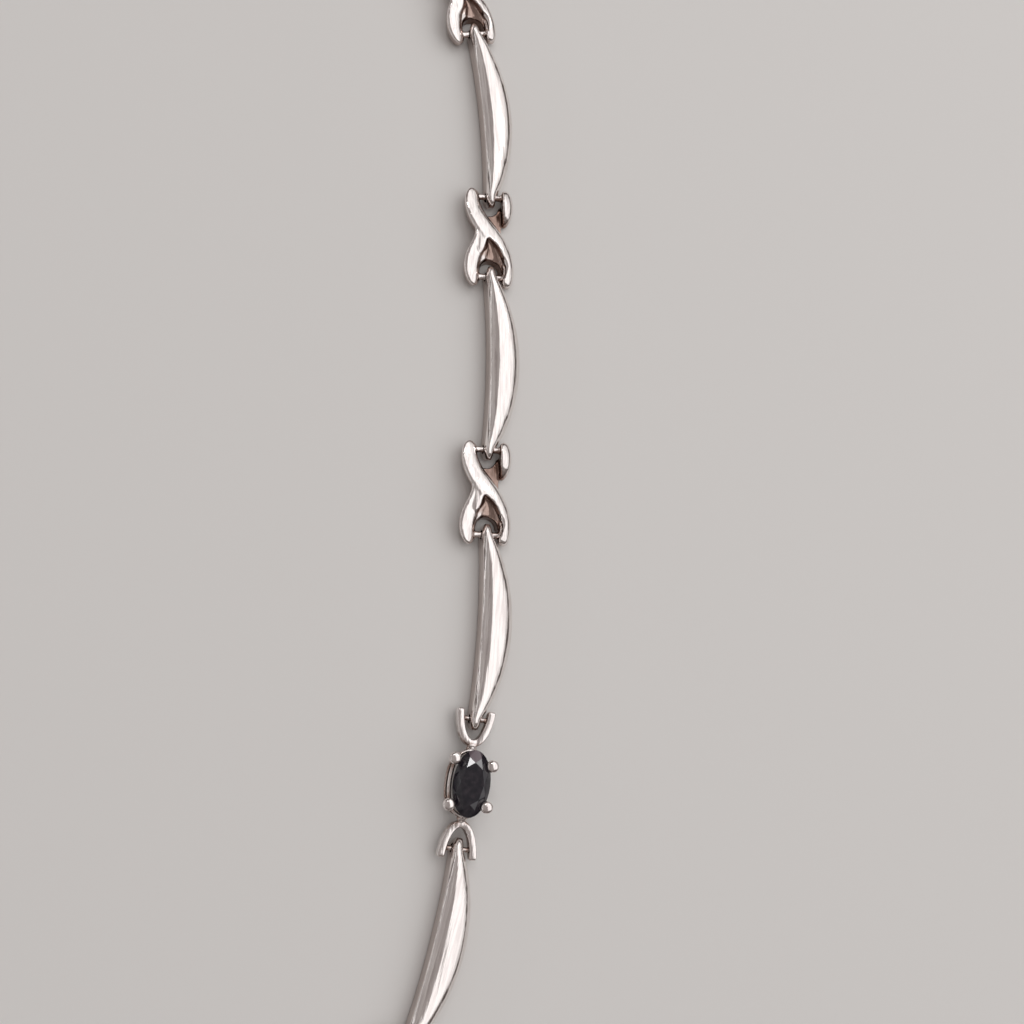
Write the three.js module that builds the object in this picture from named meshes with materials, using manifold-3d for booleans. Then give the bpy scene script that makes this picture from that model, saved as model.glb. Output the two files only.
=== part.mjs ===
// A link choker that lies on a surface, face up, as one closed oval loop.
//
// Polished crescent links alternate with cross links, which are two strands of which one passes
// over the other. At the front a claw setting takes a cross link's place and holds an oval stone,
// and opposite it a plain box clasp closes the loop. Every crescent has a bored eye at both ends,
// and each eye hangs loosely on a cross pin of its neighbour.
//
// Millimetres, +Z up. The surface is z = 0 and the origin is the middle of the loop's footprint.
// Each piece is modelled in a frame of its own: +Y runs along the chain, +X points out of the
// loop, z = 0 is its flat back, and its two pins or eyes lie on the Y axis.

import * as THREE from "three";
import { mergeVertices } from "three/addons/utils/BufferGeometryUtils.js";
import Module from "manifold-3d";

// ---------- Driving dimensions ----------

const CRESCENTS_PER_SIDE = 9; // between the setting and the clasp
const LENGTH = { crescent: 14.25, cross: 6.8, setting: 9.65, clasp: 11 }; // from pin to pin

// The pins lie on an oval |x/a|^power + |y/b|^power = 1, which is solved to close the loop.
const OVAL = { power: 2.6, widthToLength: 0.56, settingAngle: -0.38 };
const SWAY = [0, 0, 0, 0.04, 0.25, 0.49, 0.46, 0.3]; // slack: how far the first pins lie outside it

const PIN = { radius: 0.25, height: 0.9 };
const EYE = { bore: 0.6, radius: PIN.height, halfWidth: 0.48 }; // the end of a crescent
const LUG = { inside: 0.97, overhang: 0.75, notch: 1.3 }; // ears beyond a pin, notch behind it

// Sides at mid length, measured out of the loop from the line through the pins.
const CRESCENT = { inner: -0.1, outer: 2.5, height: 1.85, fullness: 0.9 };

// Strands of a cross link: how far they swing to each side, and where the swing ends.
const STRAND = { swing: 1.5, reach: 2.9, lugWidth: 1.1, lugHeight: 1.75 };

// How tall and wide each half of a strand is where the strands cross. The upper strand is the same
// on both sides. The lower one is a tall leg on one side and dives as a leaf on the other.
const CROSSING = {
  upper: [{ height: 2.15, width: 1.5 }, { height: 2.15, width: 1.5 }],
  lower: [{ height: 2.1, width: 1.25 }, { height: 1.1, width: 0.6 }],
};
const WEB = { width: 1.8, height: 1.85, edge: 0.5 }; // floor between the strands

const STONE = { halfWidth: 1.5, halfLength: 2.5, girdle: 2.25, table: 0.54, crown: 0.5, depth: 1.4 };
const RING = { margin: 0.1, wall: 0.42, height: 0.42, lower: 0, upper: 1.4, shrink: 0.2 };
const CLAW = { x: 1.5, y: 1.7, radius: 0.23, bead: 0.38, beadHeight: 2.55, lean: 0.33 };
const FORK = { halfWidth: 0.23, halfHeight: 0.42, splay: 1.2, shoulder: 0.74, overhang: 0.7, pinLength: 1.9 };
const NECK = { width: 1, height: 1.1, bottom: 0.5 }; // joins a fork to the rings

const CLASP = { halfWidth: 2.1, height: 2.2, edge: 0.3 };

const METAL = { color: 0xd9cfcb, metalness: 1, roughness: 0.12 };
const GEM = { color: 0x0b0c16, metalness: 0, roughness: 0.04 };

// ---------- Solids: three.js geometry in, joined or cut by manifold-3d ----------

const wasm = await Module();
wasm.setup();

function toSolid(geometry) {
  const bare = new THREE.BufferGeometry();
  bare.setAttribute("position", geometry.getAttribute("position"));
  bare.setIndex(geometry.index);
  const merged = mergeVertices(bare, 1e-4);
  const mesh = new wasm.Mesh({
    numProp: 3,
    vertProperties: merged.getAttribute("position").array,
    triVerts: new Uint32Array(merged.index.array),
  });
  return new wasm.Manifold(mesh);
}

function toGeometry(solid) {
  const { vertProperties, triVerts } = solid.getMesh();
  const geometry = new THREE.BufferGeometry();
  geometry.setAttribute("position", new THREE.BufferAttribute(vertProperties, 3));
  geometry.setIndex(new THREE.BufferAttribute(triVerts, 1));
  geometry.computeVertexNormals();
  return geometry;
}

function join(geometries) {
  return toGeometry(geometries.map(toSolid).reduce((sum, solid) => sum.add(solid)));
}

function cut(geometry, tools) {
  return toGeometry(tools.map(toSolid).reduce((rest, tool) => rest.subtract(tool), toSolid(geometry)));
}

// ---------- Shape helpers ----------

// A closed section, across and up, is drawn through stations listed towards +Y. A station says
// where the middle of the section's back lies, how wide and tall the section is there, and how it
// is turned in plan. It is drawn from the last station to the first, so that its faces point out.
function loft(section, stations) {
  const shape = new THREE.Shape(section.map(([across, up]) => new THREE.Vector2(across, up)));
  const steps = stations.length - 1;
  const geometry = new THREE.ExtrudeGeometry(shape, { depth: 1, steps, bevelEnabled: false });
  const position = geometry.getAttribute("position");
  for (let i = 0; i < position.count; i++) {
    const at = stations[Math.round((1 - position.getZ(i)) * steps)];
    const across = position.getX(i) * at.width;
    const x = at.x + across * Math.cos(at.turn ?? 0);
    const y = at.y + across * Math.sin(at.turn ?? 0);
    position.setXYZ(i, x, y, (at.base ?? 0) + position.getY(i) * at.height);
  }
  return geometry;
}

// A rod across the chain at the pins' height.
function crossRod(radius, length, y, sides) {
  return new THREE.CylinderGeometry(radius, radius, length, sides)
    .rotateZ(Math.PI / 2)
    .translate(0, y, PIN.height);
}

function pinPair(span, length) {
  return [-1, 1].map((end) => crossRod(PIN.radius, length, (end * span) / 2, 6));
}

// ---------- Crescent link ----------

// A steep inner wall up to a crease, then a dome that falls to the outer side.
const CRESCENT_SECTION = [
  [-0.5, 0],
  [-0.48, 0.8],
  [-0.16, 1],
  [0.2, 0.88],
  [0.45, 0.5],
  [0.5, 0],
];

const SHARES_OF_HALF = [0, 0.36, 0.7, 1]; // stations from the middle to the pin
const SHARES_OF_EYE = [0.5, 0.9]; // stations past the pin, in the eye

function crescentStation(y) {
  const inside = Math.min(Math.abs(y) / (LENGTH.crescent / 2), 1);
  const past = Math.max(Math.abs(y) - LENGTH.crescent / 2, 0) / EYE.radius;
  const fullness = (1 - inside ** 2) ** CRESCENT.fullness;
  const taper = 1 - 0.45 * past ** 2;
  const inner = THREE.MathUtils.lerp(-EYE.halfWidth, CRESCENT.inner, fullness) * taper;
  const outer = THREE.MathUtils.lerp(EYE.halfWidth, CRESCENT.outer, fullness) * taper;
  const top = THREE.MathUtils.lerp(2 * EYE.radius, CRESCENT.height, fullness);
  const base = EYE.radius * (1 - Math.sqrt(1 - past ** 2));
  return { x: (inner + outer) / 2, y, width: outer - inner, base, height: top - 2 * base };
}

function crescent() {
  const half = LENGTH.crescent / 2;
  const eye = SHARES_OF_EYE.map((share) => half + share * EYE.radius);
  const reach = [...SHARES_OF_HALF.map((share) => half * share), ...eye];
  const along = [...reach.slice(1).reverse().map((y) => -y), ...reach];
  const body = loft(CRESCENT_SECTION, along.map(crescentStation));
  return cut(body, [-1, 1].map((end) => crossRod(EYE.bore, 4 * EYE.halfWidth, end * half, 8)));
}

// ---------- Cross link ----------

const STRAND_SECTION = [
  [-0.5, 0],
  [-0.5, 0.55],
  [-0.24, 0.95],
  [0.24, 0.95],
  [0.5, 0.55],
  [0.5, 0],
];
const SWING_STATIONS = [-2.3, -0.9, 0.9, 2.3]; // between the lugs
const LUG_STATION = LENGTH.cross / 2 + 0.3; // where a lug starts to round off
const LUG_END = { width: 0.55, height: 0.7, base: 0.15 }; // rounded tip, as shares of the lug

// One strand runs from a lug on one side to the lug on the other side at the far end. Side is 1
// for the strand that starts at +X, and its two halves say how it meets the crossing.
function strand(side, halves) {
  const tip = LENGTH.cross / 2 + LUG.overhang;
  const along = [-tip, -LUG_STATION, ...SWING_STATIONS, LUG_STATION, tip];
  return loft(
    STRAND_SECTION,
    along.map((y) => {
      const phase = (Math.PI / 2) * THREE.MathUtils.clamp(y / STRAND.reach, -1, 1);
      const slope = ((-side * STRAND.swing * Math.PI) / 2 / STRAND.reach) * Math.cos(phase);
      const middle = Math.cos(phase) ** 2;
      const end = Math.abs(y) === tip ? LUG_END : { width: 1, height: 1, base: 0 };
      const half = halves[y < 0 ? 0 : 1];
      return {
        x: -side * STRAND.swing * Math.sin(phase),
        y,
        turn: Math.atan(-slope),
        width: THREE.MathUtils.lerp(STRAND.lugWidth, half.width, middle) * end.width,
        height: THREE.MathUtils.lerp(STRAND.lugHeight, half.height, middle) * end.height,
        base: STRAND.lugHeight * end.base,
      };
    }),
  );
}

// The low floor of the valleys, between the strands and as far as the notches.
function web() {
  const end = LENGTH.cross / 2 - LUG.notch;
  const flat = [
    [-0.5, 0],
    [-0.5, 1],
    [0.5, 1],
    [0.5, 0],
  ];
  return loft(flat, [
    { x: 0, y: -end, width: WEB.width, height: WEB.edge },
    { x: 0, y: 0, width: WEB.width, height: WEB.height },
    { x: 0, y: end, width: WEB.width, height: WEB.edge },
  ]);
}

function crossLink() {
  const strands = [strand(1, CROSSING.upper), strand(-1, CROSSING.lower)];
  return join([...strands, web(), ...pinPair(LENGTH.cross, 2 * STRAND.swing)]);
}

// ---------- Stone and its claw setting ----------

function stone() {
  const profile = [
    [0, -STONE.depth],
    [1, 0],
    [STONE.table, STONE.crown],
    [0, STONE.crown],
  ].map(([share, height]) => new THREE.Vector2(share, height));
  return new THREE.LatheGeometry(profile, 16)
    .scale(STONE.halfWidth, 1, STONE.halfLength)
    .rotateX(Math.PI / 2)
    .translate(0, 0, STONE.girdle);
}

function ovalRing(base, shrink) {
  const halfWidth = STONE.halfWidth + RING.margin - shrink;
  const halfLength = STONE.halfLength + RING.margin - shrink;
  const outline = new THREE.Shape().absellipse(0, 0, halfWidth, halfLength, 0, 2 * Math.PI);
  const opening = new THREE.Path();
  opening.absellipse(0, 0, halfWidth - RING.wall, halfLength - RING.wall, 0, 2 * Math.PI);
  outline.holes.push(opening);
  const settings = { depth: RING.height, bevelEnabled: false, curveSegments: 9 };
  return new THREE.ExtrudeGeometry(outline, settings).translate(0, 0, base);
}

// A claw leans outwards from the lower ring and ends in a bead beside the stone's edge.
function claw(sideX, sideY) {
  const rod = new THREE.CylinderGeometry(CLAW.radius, CLAW.radius, CLAW.beadHeight, 6)
    .rotateX(Math.PI / 2)
    .translate(0, 0, CLAW.beadHeight / 2);
  const position = rod.getAttribute("position");
  for (let i = 0; i < position.count; i++) {
    const inward = CLAW.lean * (1 - position.getZ(i) / CLAW.beadHeight);
    const x = position.getX(i) + sideX * (CLAW.x - inward);
    position.setXY(i, x, position.getY(i) + sideY * (CLAW.y - inward));
  }
  const bead = new THREE.SphereGeometry(CLAW.bead, 6, 4).rotateX(Math.PI / 2);
  return [rod, bead.translate(sideX * CLAW.x, sideY * CLAW.y, CLAW.beadHeight)];
}

// A fork of flat wire on edge, bent to a U, open towards the end that sideY names, and its neck.
function fork(sideY) {
  const bottom = LENGTH.setting / 2 - LUG.notch;
  const tip = LENGTH.setting / 2 + FORK.overhang;
  const bend = [
    [-FORK.splay, tip],
    [-FORK.shoulder, bottom + 2 * FORK.halfWidth],
    [0, bottom - FORK.halfWidth],
    [FORK.shoulder, bottom + 2 * FORK.halfWidth],
    [FORK.splay, tip],
  ];
  const route = new THREE.CatmullRomCurve3(bend.map(([x, y]) => new THREE.Vector3(x, y, PIN.height)));
  const section = new THREE.Shape().absellipse(0, 0, FORK.halfHeight, FORK.halfWidth, 0, 2 * Math.PI);
  const settings = { steps: 10, curveSegments: 3, bevelEnabled: false, extrudePath: route };
  const wire = new THREE.ExtrudeGeometry(section, settings);
  const ringEnd = STONE.halfLength + RING.margin - RING.wall;
  const neckLength = bottom - FORK.halfWidth - ringEnd;
  const neck = new THREE.BoxGeometry(NECK.width, neckLength, NECK.height)
    .translate(0, ringEnd + neckLength / 2, NECK.bottom + NECK.height / 2);
  return [wire, neck].map((geometry) => geometry.rotateZ(sideY > 0 ? 0 : Math.PI));
}

function setting() {
  const rings = [ovalRing(RING.lower, RING.shrink), ovalRing(RING.upper, 0)];
  const corners = [[-1, -1], [-1, 1], [1, -1], [1, 1]];
  const claws = corners.flatMap(([sideX, sideY]) => claw(sideX, sideY));
  return join([...rings, ...claws, ...fork(-1), ...fork(1), ...pinPair(LENGTH.setting, FORK.pinLength)]);
}

// ---------- Box clasp ----------

function clasp() {
  const pinY = LENGTH.clasp / 2;
  const tip = pinY + LUG.overhang;
  const notch = pinY - LUG.notch;
  const outline = new THREE.Shape([
    new THREE.Vector2(-CLASP.halfWidth, -tip),
    new THREE.Vector2(-LUG.inside, -tip),
    new THREE.Vector2(-LUG.inside, -notch),
    new THREE.Vector2(LUG.inside, -notch),
    new THREE.Vector2(LUG.inside, -tip),
    new THREE.Vector2(CLASP.halfWidth, -tip),
    new THREE.Vector2(CLASP.halfWidth, tip),
    new THREE.Vector2(LUG.inside, tip),
    new THREE.Vector2(LUG.inside, notch),
    new THREE.Vector2(-LUG.inside, notch),
    new THREE.Vector2(-LUG.inside, tip),
    new THREE.Vector2(-CLASP.halfWidth, tip),
  ]);
  const box = new THREE.ExtrudeGeometry(outline, {
    depth: CLASP.height - 2 * CLASP.edge,
    bevelSize: CLASP.edge,
    bevelOffset: -CLASP.edge,
    bevelThickness: CLASP.edge,
    bevelSegments: 1,
  }).translate(0, 0, CLASP.edge);
  return join([box, ...pinPair(LENGTH.clasp, LUG.inside + CLASP.halfWidth)]);
}

// ---------- The loop ----------

function ovalPoint(halfWidth, angle) {
  const share = (value) => Math.sign(value) * Math.abs(value) ** (2 / OVAL.power);
  const halfLength = halfWidth / OVAL.widthToLength;
  return new THREE.Vector2(halfWidth * share(Math.cos(angle)), halfLength * share(Math.sin(angle)));
}

// Where a value that rises with its argument passes zero.
function rootBetween(low, high, value) {
  for (let i = 0; i < 60; i++) {
    const middle = (low + high) / 2;
    if (value(middle) < 0) low = middle;
    else high = middle;
  }
  return (low + high) / 2;
}

// Steps round the oval, one chord for each piece, and gives the angle of every pin.
function pinAngles(halfWidth, chain) {
  const angles = [OVAL.settingAngle];
  for (const kind of chain) {
    const from = angles.at(-1);
    const start = ovalPoint(halfWidth, from);
    const excess = (angle) => start.distanceTo(ovalPoint(halfWidth, angle)) - LENGTH[kind];
    angles.push(rootBetween(from, from + 1, excess));
  }
  return angles;
}

function closedLoop(chain) {
  const fullTurn = OVAL.settingAngle + 2 * Math.PI;
  const halfWidth = rootBetween(30, 60, (size) => fullTurn - pinAngles(size, chain).at(-1));
  return pinAngles(halfWidth, chain).map((angle, i) => {
    const point = ovalPoint(halfWidth, angle);
    return point.add(point.clone().setY(0).setLength(SWAY[i] ?? 0));
  });
}

const side = Array.from({ length: 2 * CRESCENTS_PER_SIDE - 1 }, (_, i) => (i % 2 ? "cross" : "crescent"));
const chain = ["setting", ...side, "clasp", ...side];
const corners = closedLoop(chain);

const SHAPE = { crescent: crescent(), cross: crossLink(), setting: setting(), clasp: clasp() };
const NAME = { crescent: "crescent_link", cross: "cross_link", setting: "claw_setting", clasp: "box_clasp" };
const REPEATED = ["crescent", "cross"];

const choker = new THREE.Group();

function place(geometry, finish, name, from, to) {
  const mesh = new THREE.Mesh(geometry.clone(), new THREE.MeshStandardMaterial(finish));
  mesh.name = name;
  mesh.position.set((from.x + to.x) / 2, (from.y + to.y) / 2, 0);
  mesh.rotation.z = Math.atan2(to.y - from.y, to.x - from.x) - Math.PI / 2;
  choker.add(mesh);
}

const count = { crescent: 0, cross: 0 };
chain.forEach((kind, i) => {
  const number = REPEATED.includes(kind) ? `_${String(++count[kind]).padStart(2, "0")}` : "";
  place(SHAPE[kind], METAL, NAME[kind] + number, corners[i], corners[i + 1]);
});
place(stone(), GEM, "stone", corners[0], corners[1]);

const middle = new THREE.Box3().setFromObject(choker, true).getCenter(new THREE.Vector3());
choker.position.set(-middle.x, -middle.y, 0);

export default choker;
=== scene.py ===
# %% [markdown]
# # A silver link choker, dressed for the camera
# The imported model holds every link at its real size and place, as plain faceted solids. This
# lesson gives each of them its finished shape and its polish: the crescent links, the cross
# links, the claw setting with its forks, the oval stone and the clasp.
# Each kind of link is modelled once, in millimetres and lying along the Y axis, and then copied
# to all its places, because that is how a jeweller casts them: many from one mould.

# %% Load the frame
import math

import bpy
import numpy as np
from mathutils import Matrix, Vector
from mathutils.bvhtree import BVHTree


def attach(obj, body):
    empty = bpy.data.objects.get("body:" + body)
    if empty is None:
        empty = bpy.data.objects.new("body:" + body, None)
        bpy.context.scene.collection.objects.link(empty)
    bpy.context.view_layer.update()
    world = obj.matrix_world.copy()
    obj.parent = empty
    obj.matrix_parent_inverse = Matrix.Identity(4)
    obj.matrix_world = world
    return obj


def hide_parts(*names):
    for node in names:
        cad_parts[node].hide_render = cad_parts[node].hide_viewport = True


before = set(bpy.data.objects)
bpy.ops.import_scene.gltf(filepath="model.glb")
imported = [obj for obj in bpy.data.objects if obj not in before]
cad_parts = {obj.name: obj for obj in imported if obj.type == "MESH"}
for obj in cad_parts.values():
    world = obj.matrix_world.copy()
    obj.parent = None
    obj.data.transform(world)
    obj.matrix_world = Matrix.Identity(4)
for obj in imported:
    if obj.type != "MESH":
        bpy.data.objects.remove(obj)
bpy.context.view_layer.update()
MM = 0.001

# %% [markdown]
# ## Where the links lie
# A crescent link hangs on a pin at both of its ends, so the pins of the whole loop can be read
# from the crescents alone. The two end faces of a crescent are each other's mirror image: the
# line through their middles is the link's own line, and each pin lies a little inside them.

# %% Read the pins from the crescents
CRESCENTS = sorted(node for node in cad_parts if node.startswith("crescent_link"))
END_FACE_BEYOND_PIN = 0.81 * MM
END_FACE_DEPTH = 0.15 * MM


def plan_corners(node):
    """The node's different corners, seen from above."""
    corners = {(round(v.co.x, 6), round(v.co.y, 6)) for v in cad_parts[node].data.vertices}
    return np.array(sorted(corners))


def pins_of(node):
    """The two pins that a crescent hangs on, in the order of a walk that keeps the loop on its left."""
    corners = plan_corners(node)
    line = np.linalg.svd(corners - corners.mean(0))[2][0]
    along = corners @ line
    first = corners[along < along.min() + END_FACE_DEPTH].mean(0)
    last = corners[along > along.max() - END_FACE_DEPTH].mean(0)
    inset = (last - first) / np.linalg.norm(last - first) * END_FACE_BEYOND_PIN
    first, last = Vector(first + inset), Vector(last - inset)
    return (first, last) if first.cross(last) > 0 else (last, first)


crescent_pins = [pins_of(node) for node in CRESCENTS]
LENGTH = (crescent_pins[0][1] - crescent_pins[0][0]).length / MM
print("crescents are", round(LENGTH, 2), "mm from pin to pin")

# %% [markdown]
# The links between two crescents then simply reach from pin to pin. Cross links fill all these
# places but two: the clasp lies half way round the loop, and the setting closes the round.

# %% Name what lies between the crescents
CROSSES = sorted(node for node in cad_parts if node.startswith("cross_link"))
unplaced_crosses = iter(CROSSES)
places = dict(zip(CRESCENTS, crescent_pins))
for i in range(len(CRESCENTS)):
    if i + 1 == len(CRESCENTS) // 2:
        node = "box_clasp"
    elif i + 1 == len(CRESCENTS):
        node = "claw_setting"
    else:
        node = next(unplaced_crosses)
    places[node] = (crescent_pins[i][1], crescent_pins[(i + 1) % len(CRESCENTS)][0])
places["stone"] = places["claw_setting"]


def placing(node):
    """Takes a link modelled in millimetres along Y to its place in the loop."""
    first, last = places[node]
    middle = ((first + last) / 2).to_3d()
    heading = math.atan2(last.y - first.y, last.x - first.x) - math.pi / 2
    return Matrix.Translation(middle) @ Matrix.Rotation(heading, 4, "Z") @ Matrix.Scale(MM, 4)


span = {node: (b - a).length / MM for node, (a, b) in places.items()}
print("cross link:", round(span["cross_link_01"], 2), "setting:", round(span["claw_setting"], 2))

# %% [markdown]
# ## Tools for modelling by hand
# Blender's operators act on what is selected, so every step starts by selecting nothing. A few
# helpers keep the steps short. The first ones pick a piece, add a primitive, make several
# pieces one, and measure what came out.

# %% Helpers for whole pieces
def only(piece):
    """Selects this piece alone."""
    bpy.ops.object.select_all(action="DESELECT")
    piece.select_set(True)
    bpy.context.view_layer.objects.active = piece
    return piece


def add(primitive, name, **settings):
    """A new primitive with its turn and size already in its mesh."""
    bpy.ops.object.select_all(action="DESELECT")
    getattr(bpy.ops.mesh, f"primitive_{primitive}_add")(**settings)
    piece = bpy.context.object
    piece.name = name
    bpy.ops.object.transform_apply(location=True, rotation=True, scale=True)
    return piece


def join(loose):
    """Puts the meshes of several pieces into the first one."""
    only(loose[0])
    for piece in loose:
        piece.select_set(True)
    bpy.ops.object.join()
    return bpy.context.object


def size_of(piece):
    """Width, length and height, rounded for printing."""
    return [round(side, 2) for side in piece.dimensions]


print("helpers:", ", ".join(helper.__name__ for helper in (only, add, join, size_of)))

# %% [markdown]
# The others open a piece for editing, merge its loose points, apply a modifier, and cut or join
# one piece with another. Modifiers are applied at once, because the next step builds on the
# shape that they make.

# %% Helpers for edit mode and modifiers
MERGE_DISTANCE = 0.0005


def edit(piece):
    """Opens the piece for editing, with all of it selected."""
    only(piece)
    bpy.ops.object.mode_set(mode="EDIT")
    bpy.ops.mesh.select_all(action="SELECT")


def done():
    """Closes edit mode."""
    bpy.ops.object.mode_set(mode="OBJECT")


def clean(piece):
    """Merges points that fell together and turns all faces outwards."""
    edit(piece)
    bpy.ops.mesh.remove_doubles(threshold=MERGE_DISTANCE)
    bpy.ops.mesh.normals_make_consistent(inside=False)
    done()
    return piece


def apply(piece, kind, **settings):
    """Adds a modifier, sets it up and applies it."""
    modifier = only(piece).modifiers.new(kind.title(), kind)
    for setting, value in settings.items():
        setattr(modifier, setting, value)
    bpy.ops.object.modifier_apply(modifier=modifier.name)
    return piece


def combine(piece, tool, operation):
    """Joins the tool to the piece, or cuts it out of it, and throws the tool away."""
    apply(piece, "BOOLEAN", object=tool, operation=operation, solver="EXACT")
    bpy.data.objects.remove(tool)
    return piece


print("helpers:", ", ".join(helper.__name__ for helper in (edit, done, clean, apply, combine)))

# %% [markdown]
# ## Drawing a bar
# A crescent and the strands of a cross link are bars whose section changes along the way. By
# hand, one starts from a flat face with the section's outline and extrudes its end face again
# and again, each time moving, resizing and turning it. A curve with a bevel would keep one
# section all along, and a sculpted lump would not stay true to size, so extruding suits best.
# An outline is drawn one unit wide and one unit high, and every station gives it a size.
# Subdivision then rounds the steps away and leaves the unbroken curves that a polish needs.

# %% Draw a bar through its stations
def draw_bar(name, outline, stations, smooth=1):
    """A station is (x, y, base, width, height, turn) of the end face, with the turn about Z."""
    bar = add("circle", name, vertices=len(outline), fill_type="NGON")
    for vertex, (across, up) in zip(bar.data.vertices, outline):
        vertex.co = (across, 0, up)
    edit(bar)
    was = (0, 0, 0, 1, 1, 0)
    for number, now in enumerate(stations):
        if number:
            bpy.ops.mesh.extrude_region_move()
        here = Vector(was[:3])
        growth = (now[3] / was[3], 1, now[4] / was[4])
        bpy.ops.transform.rotate(value=was[5], orient_axis="Z", center_override=here)
        bpy.ops.transform.resize(value=growth, center_override=here)
        bpy.ops.transform.rotate(value=-now[5], orient_axis="Z", center_override=here)
        bpy.ops.transform.translate(value=Vector(now[:3]) - here)
        was = now
    done()
    clean(bar)
    return apply(bar, "SUBSURF", levels=smooth, render_levels=smooth)


print("a bar is drawn from an outline and a row of stations")

# %% [markdown]
# ## Pins, bores and slots
# All links meet alike: a cross pin at one height above the table, a bore that turns on it, and
# a slot that makes room between two ears. A cylinder and a cube are enough for all of these,
# joined to a link or cut out of it.

# %% Rods and slots
PIN_HEIGHT = 0.9
PIN_RADIUS = 0.25
ROD_LENGTH = 3
SLOT = {"length": 4, "height": 8, "middle": 1}


def rod_across(name, radius, y, length=ROD_LENGTH):
    """A rod along X at the height of the pins."""
    return add("cylinder", name, vertices=32, radius=radius, depth=length,
               location=(0, y, PIN_HEIGHT), rotation=(0, math.pi / 2, 0))


def cut_slot(piece, end, start, half_width):
    """Cuts away what lies between two ears, from the start outwards."""
    middle = (0, end * (start + SLOT["length"] / 2), SLOT["middle"])
    block = add("cube", "slot", size=1, location=middle,
                scale=(2 * half_width, SLOT["length"], SLOT["height"]))
    return combine(piece, block, "DIFFERENCE")


print("pins are", 2 * PIN_RADIUS, "mm thick and lie", PIN_HEIGHT, "mm up")

# %% [markdown]
# ## The crescent link
# Seen from above it is a slim new moon: nearly straight along the inside of the loop, bowed on
# the outside. A steep inner wall ends in a crisp crease, and from there one smooth dome falls
# to the outer side. The dome is a quarter of a rounded square, which a formula draws evenly;
# set by eye, its points would leave ripples in the mirror finish.

# %% Outline of the crescent's section
CREST = -0.23
OUTER_WALL = 0.26
DOME_POWER = 2.5


def dome(steps):
    """From the crest to the top of the outer wall, along a quarter of a rounded square."""
    points = []
    for i in range(steps + 1):
        angle = math.pi / 2 * i / steps
        across = math.sin(angle) ** (2 / DOME_POWER)
        up = math.cos(angle) ** (2 / DOME_POWER)
        points.append((CREST + (0.5 - CREST) * across, OUTER_WALL + (1 - OUTER_WALL) * up))
    return points


inner_wall = [(-0.5, 0), (-0.5, 0.04), (-0.496, 0.4), (-0.49, 0.68)]
crease = [(-0.487, 0.755), (-0.478, 0.79), (-0.46, 0.815)]
inner_flank = [(-0.42, 0.86), (-0.38, 0.9), (-0.34, 0.935), (-0.3, 0.965), (-0.26, 0.988)]
foot = [(0.5, 0.04), (0.5, 0)]
CRESCENT_OUTLINE = [*inner_wall, *crease, *inner_flank, *dome(steps=11), *foot]
print("points round the crescent's section:", len(CRESCENT_OUTLINE))

# %% [markdown]
# Both ends narrow to an eye, rounded about the pin that it hangs on. Every section follows from
# a few numbers at mid length and from the pin's height. The stations lie close together, because
# a mirror finish shows every flat spot. Past the pin the bar narrows and rises from the table, so
# that its side view ends in a half circle.

# %% Stations of the crescent
# Inner, outer and height hold at mid length, from the line of the pins. Eye is the half width
# where the bar reaches a pin, and fullness is how fast the one passes into the other.
MOON = {"inner": -0.1, "outer": 2.56, "height": 1.85, "eye": 0.48, "fullness": 0.9}
TIP = {"narrowing": 0.62, "roundness": 1.8}
STEPS_TO_PIN = 12
SHARES_PAST_PIN = (0.25, 0.5, 0.7, 0.84, 0.94)


def crescent_station(y):
    """The bar's section at this distance from mid length."""
    pin = LENGTH / 2
    fullness = (1 - min(abs(y) / pin, 1) ** 2) ** MOON["fullness"]
    past = max(abs(y) - pin, 0) / PIN_HEIGHT
    taper = 1 - TIP["narrowing"] * past ** TIP["roundness"]
    inner = (MOON["eye"] * (fullness - 1) + MOON["inner"] * fullness) * taper
    outer = (MOON["eye"] * (1 - fullness) + MOON["outer"] * fullness) * taper
    base = PIN_HEIGHT * (1 - math.sqrt(1 - past ** 2))
    top = 2 * PIN_HEIGHT * (1 - fullness) + MOON["height"] * fullness
    return ((inner + outer) / 2, y, base, outer - inner, top - 2 * base, 0)


half_way = [LENGTH / 2 * i / STEPS_TO_PIN for i in range(STEPS_TO_PIN + 1)]
half_way += [LENGTH / 2 + PIN_HEIGHT * share for share in SHARES_PAST_PIN]
all_the_way = [-y for y in reversed(half_way[1:])] + half_way
print("stations along the crescent:", len(all_the_way))

# %% [markdown]
# The eyes are drilled last, straight through the rounded ends. A real eye is drilled a little
# wider than its pin, so that the chain stays supple.

# %% Model the crescent
EYE_BORE = 0.36
crescent = draw_bar("crescent", CRESCENT_OUTLINE, [crescent_station(y) for y in all_the_way])
for end in (-1, 1):
    combine(crescent, rod_across("bore", EYE_BORE, end * LENGTH / 2), "DIFFERENCE")
print("crescent:", len(crescent.data.polygons), "faces, size", size_of(crescent))

# %% [markdown]
# ## The cross link
# Two strands cross, and the cast piece between them is soft, as if squeezed from clay. The
# upper strand runs unbroken from corner to corner. Its inner side is undercut a little, like
# the lip of a shell. Modelling the soft joins of such a piece face by face would be slow. It is
# quicker to lay bars through each other, cut the valleys and notches out of them, and then let
# a voxel remesh grow one skin over the lot.

# %% The upper strand
STRAND_OUTLINE = [(-0.24, 0), (-0.31, 0.12), (-0.405, 0.42), (-0.465, 0.66), (-0.492, 0.78),
                  (-0.5, 0.86), (-0.49, 0.94), (-0.455, 0.985), (-0.4, 1), (-0.3, 0.995),
                  (-0.16, 0.97), (-0.02, 0.94), (0.12, 0.9), (0.25, 0.85), (0.36, 0.775),
                  (0.44, 0.67), (0.485, 0.52), (0.5, 0.36), (0.5, 0)]
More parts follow.
